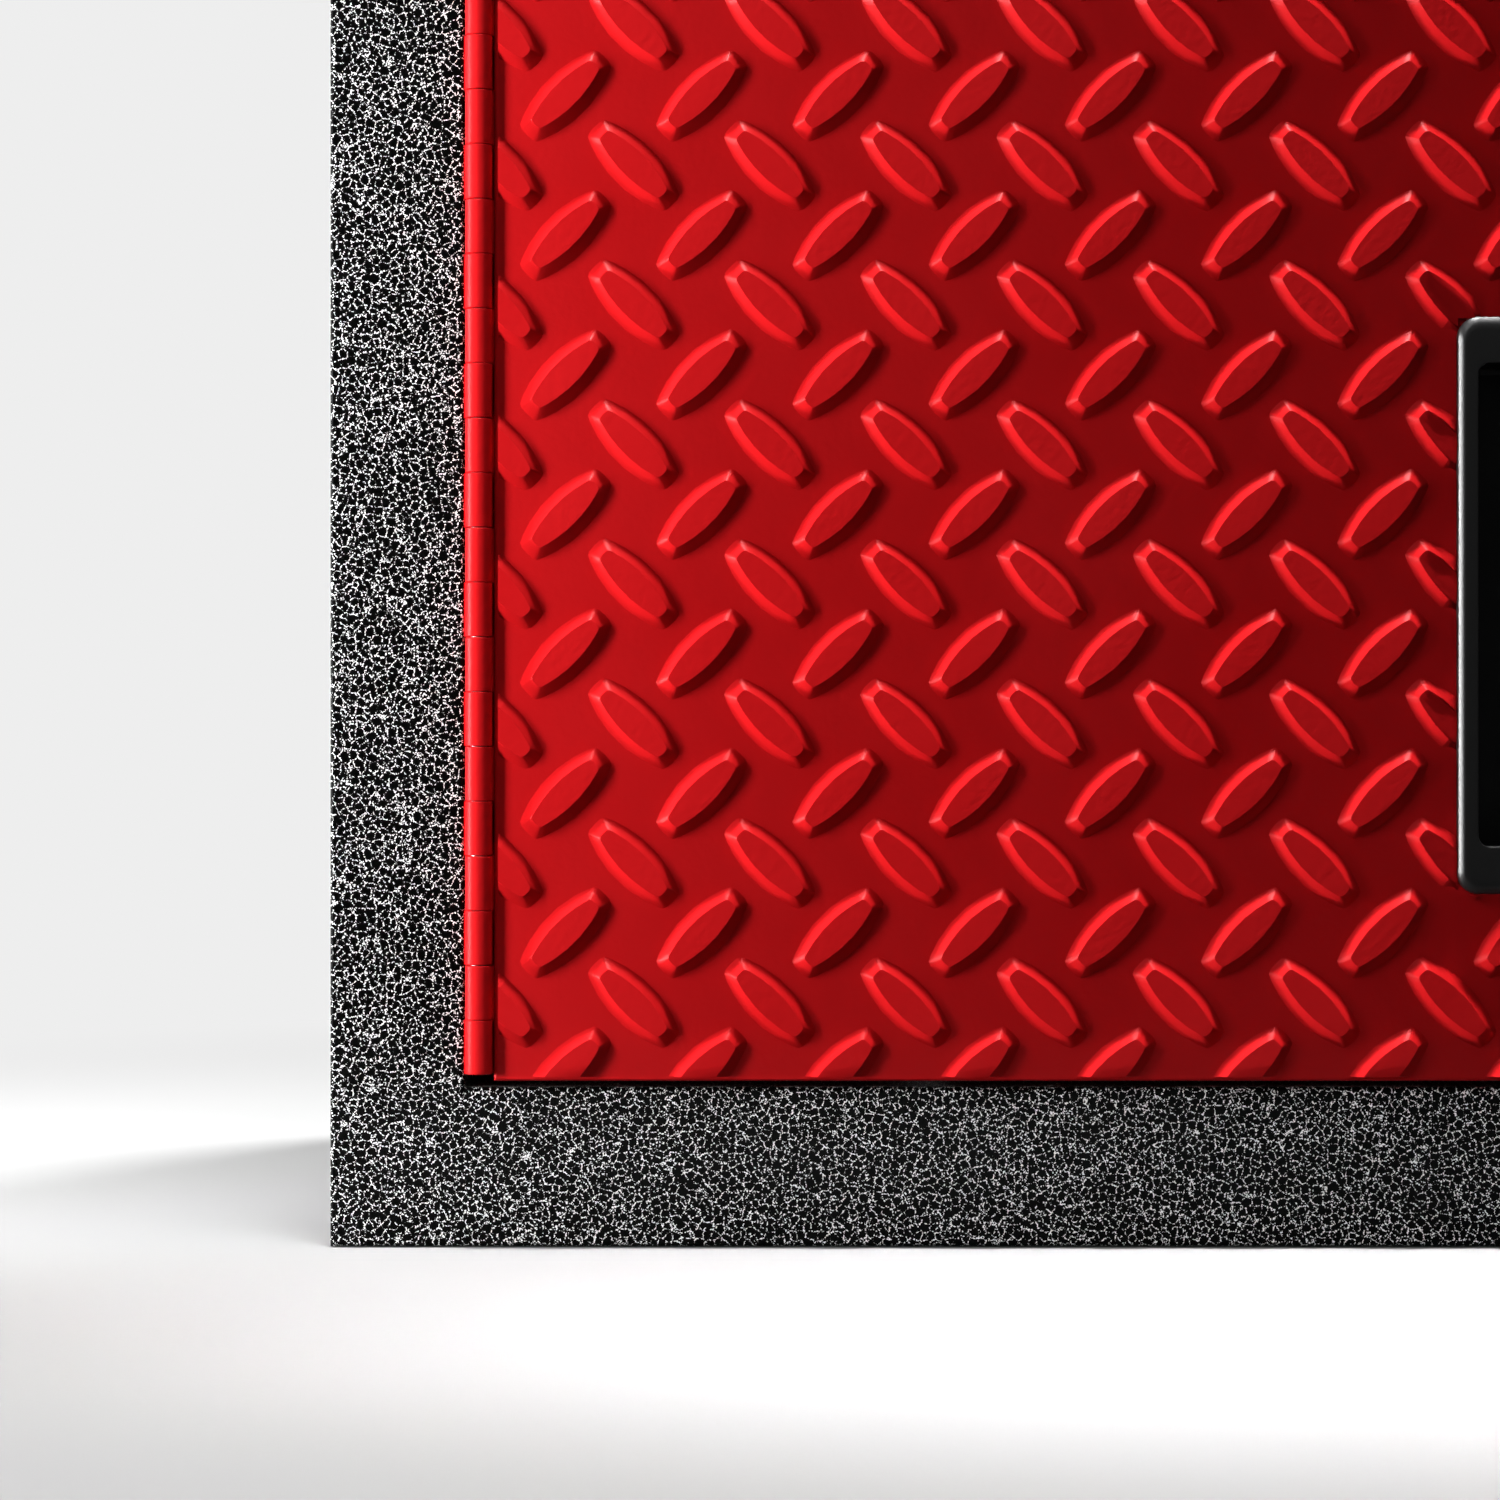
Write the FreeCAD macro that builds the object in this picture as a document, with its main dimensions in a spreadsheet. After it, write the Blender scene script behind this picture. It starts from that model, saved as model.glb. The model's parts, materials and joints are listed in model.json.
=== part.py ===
import FreeCAD, Part
import os
from types import SimpleNamespace

import Sketcher

# A steel wall cabinet with two hinged doors of tread plate.
# Millimetres. X runs to the right seen from the front, Y runs from the front to the back, Z runs up.
# The origin is the centre of the carcass's flat underside.

# Driving dimensions
TABLE = (
    ("width", 711.2, "overall width"),
    ("height", 711.2, "overall height"),
    ("depth", 304.8, "carcass depth, without the doors"),
    ("sheet", 1.2, "carcass sheet"),
    ("bend", 1.1, "outer radius of a bend"),
    ("stile_width", 31.45, "front face of a side panel"),
    ("stile_return", 20.0, "how far the stile's inner edge runs back"),
    ("rear_flange", 15.0, "rear flange of a side panel"),
    ("rail_height", 37.2, "front rail between the stiles"),
    ("rail_step", 2.35, "rail's edge between the stiles, past their feet"),
    ("rail_shelf", 45.0, "depth of the rail's inner flange"),
    ("rail_lip", 10.0, "stiffening lip of the rail's inner flange"),
    ("rail_foot", 25.0, "depth of the rail's outer flange"),
    ("pan_flange", 14.0, "flanges of the top and bottom panels"),
    ("wall_rail_height", 50.0, "wall rail web"),
    ("wall_rail_sheet", 2.0, "wall rail steel"),
    ("wall_rail_flange", 12.0, "wall rail flanges"),
    ("wall_rail_inset", 60.0, "wall rail's middle from the top or bottom"),
    ("stud_pitch", 406.4, "distance between the wall bolts"),
    ("bolt_hole", 9.0, "diameter of a wall bolt's hole"),
    ("standard_width", 16.0, "shelf standard, seen from inside"),
    ("standard_depth", 4.8, "shelf standard, out from the side"),
    ("standard_sheet", 1.0, "shelf standard steel"),
    ("standard_inset", 50.0, "standard's end from the top or bottom"),
    ("standard_front", 70.0, "front standard's middle from the frame's front"),
    ("standard_rear", 60.0, "rear standard's middle from the back"),
    ("slot_pitch", 25.4, "distance between a standard's slots"),
    ("slot_height", 5.0, "standard's slot"),
    ("slot_width", 8.0, "standard's slot"),
    ("shelf_step", 12.0, "slots below the shelf"),
    ("shelf_lip", 25.0, "shelf's front and rear flanges"),
    ("shelf_gap", 0.8, "shelf's side clearance to a standard"),
    ("shelf_front", 40.0, "shelf's front from the frame's front"),
    ("clip_width", 12.0, "shelf clip"),
    ("clip_reach", 14.0, "shelf clip's tongue"),
    ("clip_sheet", 1.5, "shelf clip steel"),
    ("door_proud", 3.0, "door skin ahead of the frame"),
    ("door_thickness", 22.0, "door, skin to liner"),
    ("door_sheet", 1.0, "door skin steel"),
    ("door_gap", 1.6, "gap between a door and a rail"),
    ("middle_gap", 3.0, "gap between the doors"),
    ("door_lip", 10.0, "inward lip of the door pan"),
    ("liner_sheet", 0.8, "door liner steel"),
    ("liner_margin", 1.0, "liner's edge inside the door's edge"),
    ("stiffener_width", 40.0, "door stiffener's crown"),
    ("stiffener_foot", 12.0, "door stiffener's feet"),
    ("stiffener_end", 14.0, "stiffener's end inside the door's edge"),
    ("barrel", 6.3, "hinge barrel diameter"),
    ("pin", 3.8, "hinge pin diameter"),
    ("pin_play", 0.05, "radial clearance of the pin"),
    ("leaf", 1.2, "hinge leaf steel"),
    ("leaf_offset", 0.3, "how far a leaf's face stands outside its barrel"),
    ("leaf_width", 17.0, "hinge leaf behind the pin"),
    ("knuckle", 12.7, "hinge knuckle pitch"),
    ("knuckle_gap", 0.5, "gap between two knuckles"),
    ("knuckle_notch", 0.45, "a knuckle's clearance in the other leaf"),
    ("hinge_forward", 3.2, "hinge pin ahead of the frame's front"),
    ("hinge_inset", 1.6, "hinge's end inside the door's end"),
    ("handle_width", 68.0, "handle seen from the front"),
    ("handle_height", 134.0, "handle seen from the front"),
    ("handle_proud", 3.5, "handle ahead of the door skin"),
    ("handle_inset", 24.1, "handle's edge from the door's free edge"),
    ("handle_low", 82.3, "handle's lower edge above the underside"),
    ("handle_corner", 5.0, "handle's corner radius"),
    ("handle_round", 1.3, "handle's rounded rim"),
    ("handle_bar", 4.7, "handle rim beside the recess"),
    ("handle_end", 11.0, "handle rim above and below the recess"),
    ("recess_width", 36.0, "mouth of the finger recess"),
    ("recess_under", 12.0, "recess behind the grip"),
    ("recess_corner", 2.0, "corner radius of the finger recess"),
    ("grip_thickness", 6.0, "thickness of the grip bar"),
    ("cup_wall", 1.8, "wall of the handle's cup"),
    ("cup_room", 1.7, "room between the cup's back and the liner"),
    ("cup_play", 0.5, "clearance round the cup in the skin"),
    ("clip_leg", 8.0, "handle clip's legs"),
    ("clip_steel", 0.8, "handle clip's spring steel"),
    ("handle_clip_width", 10.0, "handle clip"),
    ("catch_half", 60.0, "half the catch housing's width"),
    ("catch_height", 12.0, "catch housing"),
    ("catch_depth", 18.0, "catch housing"),
    ("pole_start", 10.0, "pole plate's near end from the middle"),
    ("pole_end", 42.0, "pole plate's far end from the middle"),
    ("pole_sheet", 1.5, "pole plate steel"),
    ("pole_proud", 0.5, "pole plates ahead of the housing"),
    ("magnet_height", 3.0, "magnet"),
    ("magnet_depth", 14.0, "magnet and its pocket"),
    ("strike_sheet", 1.5, "strike plate steel"),
    ("strike_gap", 0.3, "strike to pole plates, closed"),
    ("strike_margin", 2.0, "strike plate past the pole plates"),
    ("strike_height", 9.0, "strike plate"),
    ("strike_inset", 1.0, "strike plate from the door's end"),
    ("bumper", 8.0, "rubber bumper diameter"),
    ("bumper_place", 51.0, "bumper and screw from the middle"),
    ("screw_head", 6.5, "catch screw's head diameter"),
    ("screw_head_height", 2.0, "catch screw's head"),
    ("screw", 3.4, "catch screw's shank diameter"),
    ("screw_play", 0.1, "radial clearance of a catch screw"),
    ("screw_end", 2.0, "catch screw beyond the rail"),
    ("badge_width", 100.0, "badge frame"),
    ("badge_side", 38.2, "badge's right edge from the cabinet's side"),
    ("badge_low", 4.6, "badge's lower edge above the underside"),
    ("badge_top", 5.8, "badge's upper edge below the rail's edge"),
    ("badge_proud", 2.5, "badge frame ahead of the rail"),
    ("badge_bar", 3.4, "badge frame's bars"),
    ("badge_slope", 1.2, "slope along each edge of the bars"),
    ("insert_proud", 1.2, "badge insert ahead of the rail"),
    ("insert_play", 0.1, "insert's clearance in its frame"),
)


class Size:
    """A length in mm, with its formula over the size table and its present value."""

    def __init__(self, formula, value):
        self.formula = formula
        self.value = value

    def joined(self, sign, other, value):
        return Size(f"({self.formula} {sign} {other.formula})", value)

    def __add__(self, other):
        other = as_size(other)
        return self.joined("+", other, self.value + other.value)

    def __sub__(self, other):
        other = as_size(other)
        return self.joined("-", other, self.value - other.value)

    def __mul__(self, other):
        other = as_size(other)
        return self.joined("*", other, self.value * other.value)

    def __truediv__(self, other):
        other = as_size(other)
        return self.joined("/", other, self.value / other.value)

    def __rsub__(self, other):
        return as_size(other) - self

    def __neg__(self):
        return as_size(0) - self

    __radd__ = __add__
    __rmul__ = __mul__


def as_size(number):
    return number if isinstance(number, Size) else Size(f"{number:g}", float(number))


# The document and its size table

doc = FreeCAD.newDocument("wall_cabinet")
table = doc.addObject("Spreadsheet::Sheet", "Sizes")
for row, (alias, number, words) in enumerate(TABLE, start=1):
    table.set(f"A{row}", words)
    table.set(f"B{row}", f"{number:g}")
    table.setAlias(f"B{row}", alias)
doc.recompute()
size = SimpleNamespace(**{alias: Size(f"Sizes.{alias}", number) for alias, number, words in TABLE})

subparts = []


# Sketches, pads and pockets


def new_body(label, several_solids=False):
    body = doc.addObject("PartDesign::Body", label)
    body.Label = label
    body.AllowCompound = several_solids
    subparts.append(body)
    return body


def pin_point(sketch, line, end, place):
    """Hold one end of a line, or a circle's centre, at a place given by two sizes."""
    for kind, length in zip(("DistanceX", "DistanceY"), place):
        number = sketch.addConstraint(Sketcher.Constraint(kind, -1, 1, line, end, length.value))
        sketch.setExpression(f"Constraints[{number}]", length.formula)


def polygon(*corners):
    """A closed outline with straight sides."""
    corners = [(as_size(x), as_size(y)) for x, y in corners]

    def draw(sketch):
        first = sketch.GeometryCount
        points = [FreeCAD.Vector(x.value, y.value, 0) for x, y in corners]
        for start, end in zip(points, points[1:] + points[:1]):
            sketch.addGeometry(Part.LineSegment(start, end), False)
        for number, corner in enumerate(corners):
            following = (number + 1) % len(corners)
            sketch.addConstraint(Sketcher.Constraint("Coincident", first + number, 2, first + following, 1))
            pin_point(sketch, first + number, 1, corner)

    return draw


def rectangle(x_low, x_high, y_low, y_high):
    return polygon((x_low, y_low), (x_high, y_low), (x_high, y_high), (x_low, y_high))


def circle(x, y, diameter):
    centre = (as_size(x), as_size(y))

    def draw(sketch):
        place = FreeCAD.Vector(centre[0].value, centre[1].value, 0)
        ring = sketch.addGeometry(Part.Circle(place, FreeCAD.Vector(0, 0, 1), diameter.value / 2), False)
        pin_point(sketch, ring, 3, centre)
        number = sketch.addConstraint(Sketcher.Constraint("Diameter", ring, diameter.value))
        sketch.setExpression(f"Constraints[{number}]", diameter.formula)

    return draw


def new_sketch(body, plane, level, outlines):
    """A sketch parallel to one of the body's own origin planes, at a level across that plane."""
    sketch = body.newObject("Sketcher::SketchObject", f"{body.Name}_outline")
    origin_plane = next(f for f in body.Origin.OriginFeatures if f.Role == f"{plane}_Plane")
    sketch.AttachmentSupport = (origin_plane, "")
    sketch.MapMode = "FlatFace"
    along_normal = -level if plane == "XZ" else level
    sketch.setExpression("AttachmentOffset.Base.z", along_normal.formula)
    for draw in outlines:
        draw(sketch)
    return sketch


def pad(body, plane, low, high, *outlines):
    """Add the outlines' inside to the body, from one level to a higher one across the plane."""
    low = as_size(low)
    feature = body.newObject("PartDesign::Pad", f"{body.Name}_pad")
    feature.Profile = new_sketch(body, plane, low, outlines)
    feature.setExpression("Length", (as_size(high) - low).formula)
    feature.Reversed = plane == "XZ"
    body.Tip = feature


def pocket(body, plane, low, high, *outlines):
    """Take the outlines' inside out of the body, from one level to a higher one across the plane."""
    low = as_size(low)
    doc.recompute()
    before = body.Shape.Volume
    feature = body.newObject("PartDesign::Pocket", f"{body.Name}_pocket")
    feature.Profile = new_sketch(body, plane, low, outlines)
    feature.setExpression("Length", (as_size(high) - low).formula)
    feature.Reversed = plane != "XZ"
    body.Tip = feature
    doc.recompute()
    if not body.Shape.Volume < before:
        raise RuntimeError(f"{body.Label}: a pocket cuts nothing")
    return feature


def repeat_upwards(body, feature, pitch, room):
    """Repeat a feature up the body at a pitch, as often as the room above the first one allows."""
    pattern = body.newObject("PartDesign::LinearPattern", f"{body.Name}_pattern")
    pattern.Originals = [feature]
    vertical = next(f for f in body.Origin.OriginFeatures if f.Role == "Z_Axis")
    pattern.Direction = (vertical, [""])
    pattern.Mode = "Spacing"
    pattern.setExpression("Offset", pitch.formula)
    pattern.setExpression("Occurrences", f"floor({room.formula} / {pitch.formula}) + 1")
    body.Tip = pattern


def dress_edges(body, kind, radius, chosen):
    """Round or slope the edges that the test chooses."""
    doc.recompute()
    base = body.Tip
    names = [f"Edge{number}" for number, edge in enumerate(base.Shape.Edges, start=1) if chosen(edge)]
    if not names:
        raise RuntimeError(f"{body.Label}: no edge to dress")
    feature = body.newObject(f"PartDesign::{kind}", f"{body.Name}_{kind.lower()}")
    feature.Base = (base, names)
    feature.setExpression("Radius" if kind == "Fillet" else "Size", radius.formula)
    body.Tip = feature


NEAR = 0.01


def near(number, length):
    return abs(number - as_size(length).value) < NEAR


def lies_at(edge, x=None, y=None, z=None):
    """Whether both ends of an edge lie at each coordinate that is given."""
    return all(
        length is None or near(vertex.Point[axis], length)
        for vertex in edge.Vertexes
        for axis, length in enumerate((x, y, z))
    )


# Levels and sides that several pieces share

half_width = size.width / 2
front = -size.depth / 2
back = size.depth / 2
inner_back = back - size.sheet
inner_side = half_width - size.sheet
stile_edge = half_width - size.stile_width
rail_lap = size.rail_height - size.rail_step

door_front = front - size.door_proud
liner_back = door_front + size.door_thickness
liner_front = liner_back - size.liner_sheet
door_bottom = size.rail_height + size.door_gap
door_top = size.height - door_bottom

pin_y = front - size.hinge_forward
leaf_face = size.barrel / 2 + size.leaf_offset
pin_x = stile_edge - leaf_face
hinge_bottom = door_bottom + size.hinge_inset
hinge_top = door_top - size.hinge_inset
door_hinge_edge = pin_x - leaf_face
door_free_edge = size.middle_gap / 2

pole_front = liner_back + size.strike_sheet + size.strike_gap
catch_front = pole_front + size.pole_proud
catch_middle = catch_front + size.catch_depth / 2

SIDES = (("left", -1), ("right", 1))


def upright(level, end):
    """A level above the underside, or as far below the top."""
    return level if end == "lower" else size.height - level


def between(first, second):
    """Two levels, the lower one first."""
    return (first, second) if as_size(first).value < as_size(second).value else (second, first)


def side_rectangle(side, near_x, far_x, y_low, y_high):
    """A rectangle between two distances from the middle, on the left or the right."""
    return rectangle(*between(side * near_x, side * far_x), y_low, y_high)


# Side panels: one sheet each, folded round the front into a stile and round the back into a flange


def side_panel(name, side):
    body = new_body(f"{name}_side_panel")
    pad(body, "XY", 0, size.height, side_rectangle(side, inner_side, half_width, front, inner_back))
    stile = polygon(
        (side * inner_side, front),
        (side * stile_edge, front),
        (side * stile_edge, front + size.stile_return),
        (side * (stile_edge + size.sheet), front + size.stile_return),
        (side * (stile_edge + size.sheet), front + size.sheet),
        (side * inner_side, front + size.sheet),
    )
    pad(body, "XY", rail_lap, size.height - rail_lap, stile)
    flange = side_rectangle(
        side, half_width - size.rear_flange, inner_side, inner_back - size.sheet, inner_back
    )
    pad(body, "XY", size.pan_flange, size.height - size.pan_flange, flange)
    corners = (side * half_width, side * stile_edge)
    dress_edges(
        body, "Fillet", size.bend, lambda edge: any(lies_at(edge, x=x, y=front) for x in corners)
    )


for name, side in SIDES:
    side_panel(name, side)


# Front rails: a face between the side panels, an inner flange with a lip, and an outer flange


def front_rail(name, end):
    body = new_body(f"{name}_rail")
    outer, lap, inner = (upright(level, end) for level in (as_size(0), rail_lap, size.rail_height))
    face = polygon(
        (-inner_side, outer),
        (inner_side, outer),
        (inner_side, lap),
        (stile_edge, lap),
        (stile_edge, inner),
        (-stile_edge, inner),
        (-stile_edge, lap),
        (-inner_side, lap),
    )
    pad(body, "XZ", front, front + size.sheet, face)
    flange_end = front + size.rail_shelf
    under = upright(size.rail_height - size.sheet, end)
    lip = upright(size.rail_height - size.rail_lip, end)
    inner_flange = polygon(
        (front, inner),
        (flange_end, inner),
        (flange_end, lip),
        (flange_end - size.sheet, lip),
        (flange_end - size.sheet, under),
        (front, under),
    )
    pad(body, "YZ", -stile_edge, stile_edge, inner_flange)
    outer_flange = rectangle(front, front + size.rail_foot, *between(outer, upright(size.sheet, end)))
    pad(body, "YZ", -inner_side, inner_side, outer_flange)
    dress_edges(
        body,
        "Fillet",
        size.bend,
        lambda edge: any(lies_at(edge, y=front, z=z) for z in (outer, inner)),
    )
    for place in (-size.bumper_place, size.bumper_place):
        hole = circle(place, catch_middle, size.screw + size.screw_play * 2)
        pocket(body, "XY", *between(under, inner), hole)


ENDS = (("bottom", "lower"), ("top", "upper"))
for name, end in ENDS:
    front_rail(name, end)


# Top and bottom panels: pans welded between the side panels


def end_panel(name, end):
    body = new_body(f"{name}_panel")
    start = front + size.rail_foot
    skin = between(upright(as_size(0), end), upright(size.sheet, end))
    flange = between(upright(size.sheet, end), upright(size.pan_flange, end))
    pad(body, "XY", *skin, rectangle(-inner_side, inner_side, start, inner_back))
    sides = [
        side_rectangle(side, inner_side - size.sheet, inner_side, start, inner_back) for word, side in SIDES
    ]
    pad(body, "XY", *flange, *sides)
    rear = rectangle(size.sheet - inner_side, inner_side - size.sheet, inner_back - size.sheet, inner_back)
    pad(body, "XY", *flange, rear)


for name, end in ENDS:
    end_panel(name, end)


# Back panel and the two wall rails in front of it, with the holes for the wall bolts

rail_levels = [(end, upright(size.wall_rail_inset, end)) for end in ("lower", "upper")]
bolt_x = size.stud_pitch / 2


def bolt_holes(levels):
    return [circle(x, level, size.bolt_hole) for level in levels for x in (-bolt_x, bolt_x)]


back_panel = new_body("back_panel")
pad(back_panel, "XZ", inner_back, back, rectangle(-half_width, half_width, 0, size.height))
pocket(back_panel, "XZ", inner_back, back, *bolt_holes([level for end, level in rail_levels]))


def wall_rail(end, level):
    body = new_body(f"{end}_wall_rail")
    low = level - size.wall_rail_height / 2
    high = level + size.wall_rail_height / 2
    web = inner_back - size.wall_rail_sheet
    reach = inner_back - size.wall_rail_flange
    channel = polygon(
        (inner_back, low),
        (inner_back, high),
        (reach, high),
        (reach, high - size.wall_rail_sheet),
        (web, high - size.wall_rail_sheet),
        (web, low + size.wall_rail_sheet),
        (reach, low + size.wall_rail_sheet),
        (reach, low),
    )
    end_x = half_width - size.rear_flange
    pad(body, "YZ", -end_x, end_x, channel)
    pocket(body, "XZ", web, inner_back, *bolt_holes([level]))


for end, level in rail_levels:
    wall_rail(end, level)


# Shelf standards: slotted channels up the inside of both sides

standard_low = size.standard_inset
standard_high = size.height - size.standard_inset
standard_face = inner_side - size.standard_depth
first_slot = standard_low + size.slot_pitch / 2
standard_rows = (("front", front + size.standard_front), ("rear", back - size.standard_rear))


def shelf_standard(name, side, row, middle):
    body = new_body(f"{name}_{row}_standard")
    low = middle - size.standard_width / 2
    high = middle + size.standard_width / 2
    channel = polygon(
        (side * inner_side, low),
        (side * standard_face, low),
        (side * standard_face, high),
        (side * inner_side, high),
        (side * inner_side, high - size.standard_sheet),
        (side * (standard_face + size.standard_sheet), high - size.standard_sheet),
        (side * (standard_face + size.standard_sheet), low + size.standard_sheet),
        (side * inner_side, low + size.standard_sheet),
    )
    pad(body, "XY", standard_low, standard_high, channel)
    levels = between(side * standard_face, side * (standard_face + size.standard_sheet))
    slot = rectangle(
        middle - size.slot_width / 2, middle + size.slot_width / 2, first_slot, first_slot + size.slot_height
    )
    cut = pocket(body, "YZ", *levels, slot)
    repeat_upwards(body, cut, size.slot_pitch, standard_high - first_slot - size.slot_pitch / 2)


for name, side in SIDES:
    for row, middle in standard_rows:
        shelf_standard(name, side, row, middle)


# Shelf, and the four clips that carry it

shelf_level = first_slot + size.slot_pitch * size.shelf_step + size.slot_height
shelf_edge = standard_face - size.shelf_gap

shelf = new_body("shelf")
shelf_start = front + size.shelf_front
pad(
    shelf,
    "XY",
    shelf_level,
    shelf_level + size.sheet,
    rectangle(-shelf_edge, shelf_edge, shelf_start, inner_back - size.sheet),
)
lips = [
    rectangle(-shelf_edge, shelf_edge, shelf_start, shelf_start + size.sheet),
    rectangle(-shelf_edge, shelf_edge, inner_back - size.sheet * 2, inner_back - size.sheet),
]
pad(shelf, "XY", shelf_level - size.shelf_lip + size.sheet, shelf_level, *lips)

clips = new_body("shelf_clips", several_solids=True)
for name, side in SIDES:
    for row, middle in standard_rows:
        clip_low = middle - size.clip_width / 2
        clip = polygon(
            (side * standard_face, shelf_level - size.clip_width),
            (side * (standard_face - size.clip_sheet), shelf_level - size.clip_width),
            (side * (standard_face - size.clip_sheet), shelf_level - size.clip_sheet),
            (side * (standard_face - size.clip_reach), shelf_level - size.clip_sheet),
            (side * (standard_face - size.clip_reach), shelf_level),
            (side * standard_face, shelf_level),
        )
        pad(clips, "XZ", clip_low, clip_low + size.clip_width, clip)


# Continuous hinges: two leaves with alternate knuckles round one pin


def hinge_leaf(label, side, frame_side):
    body = new_body(label)
    ring = circle(side * pin_x, pin_y, size.barrel)
    pad(body, "XY", hinge_bottom, hinge_top, ring)
    outward = 1 if frame_side else -1
    near_x = pin_x + outward * (leaf_face - size.leaf)
    far_x = pin_x + outward * leaf_face
    plate = side_rectangle(side, near_x, far_x, pin_y, pin_y + size.leaf_width)
    pad(body, "XY", hinge_bottom, hinge_top, plate)
    bore = circle(side * pin_x, pin_y, size.pin + size.pin_play * 2)
    pocket(body, "XY", hinge_bottom, hinge_top, bore)
    first = hinge_bottom + (size.knuckle if frame_side else 0) - size.knuckle_gap / 2
    reach = leaf_face + size.knuckle_notch
    notch = side_rectangle(side, pin_x - reach, pin_x + reach, pin_y - reach, pin_y + reach)
    cut = pocket(body, "XY", first, first + size.knuckle + size.knuckle_gap, notch)
    repeat_upwards(body, cut, size.knuckle * 2, hinge_top - first)


def hinge_pin(name, side):
    body = new_body(f"{name}_hinge_pin")
    pad(body, "XY", hinge_bottom, hinge_top, circle(side * pin_x, pin_y, size.pin))


for name, side in SIDES:
    hinge_leaf(f"{name}_hinge_frame_leaf", side, True)
    hinge_leaf(f"{name}_hinge_door_leaf", side, False)
    hinge_pin(name, side)


# Doors: a pan of tread plate, closed at the back by a liner over a vertical stiffener

handle_inner = door_free_edge + size.handle_inset
handle_outer = handle_inner + size.handle_width
handle_high = size.handle_low + size.handle_height
recess_outer = handle_outer - size.handle_bar
recess_inner = recess_outer - size.recess_width
under_inner = recess_inner - size.recess_under
recess_low = size.handle_low + size.handle_end
recess_high = handle_high - size.handle_end
cup_inner = under_inner - size.cup_wall
cup_outer = recess_outer + size.cup_wall
cup_low = recess_low - size.cup_wall
cup_high = recess_high + size.cup_wall


def door_outline(side, inset):
    return side_rectangle(
        side, door_free_edge + inset, door_hinge_edge - inset, door_bottom + inset, door_top - inset
    )


def door_skin(name, side):
    body = new_body(f"{name}_door_skin")
    pad(body, "XZ", door_front, door_front + size.door_sheet, door_outline(side, 0))
    walls = door_outline(side, 0), door_outline(side, size.door_sheet)
    pad(body, "XZ", door_front + size.door_sheet, liner_front, *walls)
    lips = door_outline(side, size.door_sheet), door_outline(side, size.door_lip)
    pad(body, "XZ", liner_front - size.door_sheet, liner_front, *lips)
    opening = side_rectangle(
        side,
        cup_inner - size.cup_play,
        cup_outer + size.cup_play,
        cup_low - size.cup_play,
        cup_high + size.cup_play,
    )
    pocket(body, "XZ", door_front, door_front + size.door_sheet, opening)
    sides = (side * door_free_edge, side * door_hinge_edge)
    dress_edges(
        body,
        "Fillet",
        size.bend,
        lambda edge: any(lies_at(edge, x=x, y=door_front) for x in sides)
        or any(lies_at(edge, y=door_front, z=z) for z in (door_bottom, door_top)),
    )


def door_liner(name, side):
    body = new_body(f"{name}_door_liner")
    pad(body, "XZ", liner_front, liner_back, door_outline(side, size.liner_margin))


def door_stiffener(name, side):
    body = new_body(f"{name}_door_stiffener")
    middle = (handle_outer + door_hinge_edge) / 2
    crown = door_front + size.door_sheet
    crown_half = size.stiffener_width / 2
    foot_half = crown_half + size.stiffener_foot
    web_half = crown_half - size.door_sheet
    heel = liner_front - size.door_sheet
    profile = (
        (foot_half, liner_front),
        (foot_half, heel),
        (crown_half, heel),
        (crown_half, crown),
        (-crown_half, crown),
        (-crown_half, heel),
        (-foot_half, heel),
        (-foot_half, liner_front),
        (-web_half, liner_front),
        (-web_half, crown + size.door_sheet),
        (web_half, crown + size.door_sheet),
        (web_half, liner_front),
    )
    outline = polygon(*((side * (middle + x), y) for x, y in profile))
    pad(body, "XY", door_bottom + size.stiffener_end, door_top - size.stiffener_end, outline)


# Handles: a moulded cup with a rim on the door's face and a grip bar over the finger recess


def handle(name, side):
    body = new_body(f"{name}_handle")
    rim_front = door_front - size.handle_proud
    cup_back = liner_front - size.cup_room
    rim = side_rectangle(side, handle_inner, handle_outer, size.handle_low, handle_high)
    pad(body, "XZ", rim_front, door_front, rim)
    cup = side_rectangle(side, cup_inner, cup_outer, cup_low, cup_high)
    pad(body, "XZ", door_front, cup_back, cup)
    floor = cup_back - size.cup_wall
    mouth = side_rectangle(side, recess_inner, recess_outer, recess_low, recess_high)
    pocket(body, "XZ", rim_front, floor, mouth)
    under = side_rectangle(side, under_inner, recess_inner, recess_low, recess_high)
    pocket(body, "XZ", rim_front + size.grip_thickness, floor, under)
    rim_x = (side * handle_inner, side * handle_outer)
    rim_z = (size.handle_low, handle_high)
    dress_edges(
        body,
        "Fillet",
        size.handle_corner,
        lambda edge: any(lies_at(edge, x=x, z=z) for x in rim_x for z in rim_z),
    )
    mouth_x = (side * recess_inner, side * recess_outer)
    dress_edges(
        body,
        "Fillet",
        size.recess_corner,
        lambda edge: any(lies_at(edge, x=x, z=z) for x in mouth_x for z in (recess_low, recess_high)),
    )
    dress_edges(
        body,
        "Fillet",
        size.handle_round,
        lambda edge: lies_at(edge, y=rim_front) and any(lies_at(edge, x=x) for x in rim_x),
    )


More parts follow.
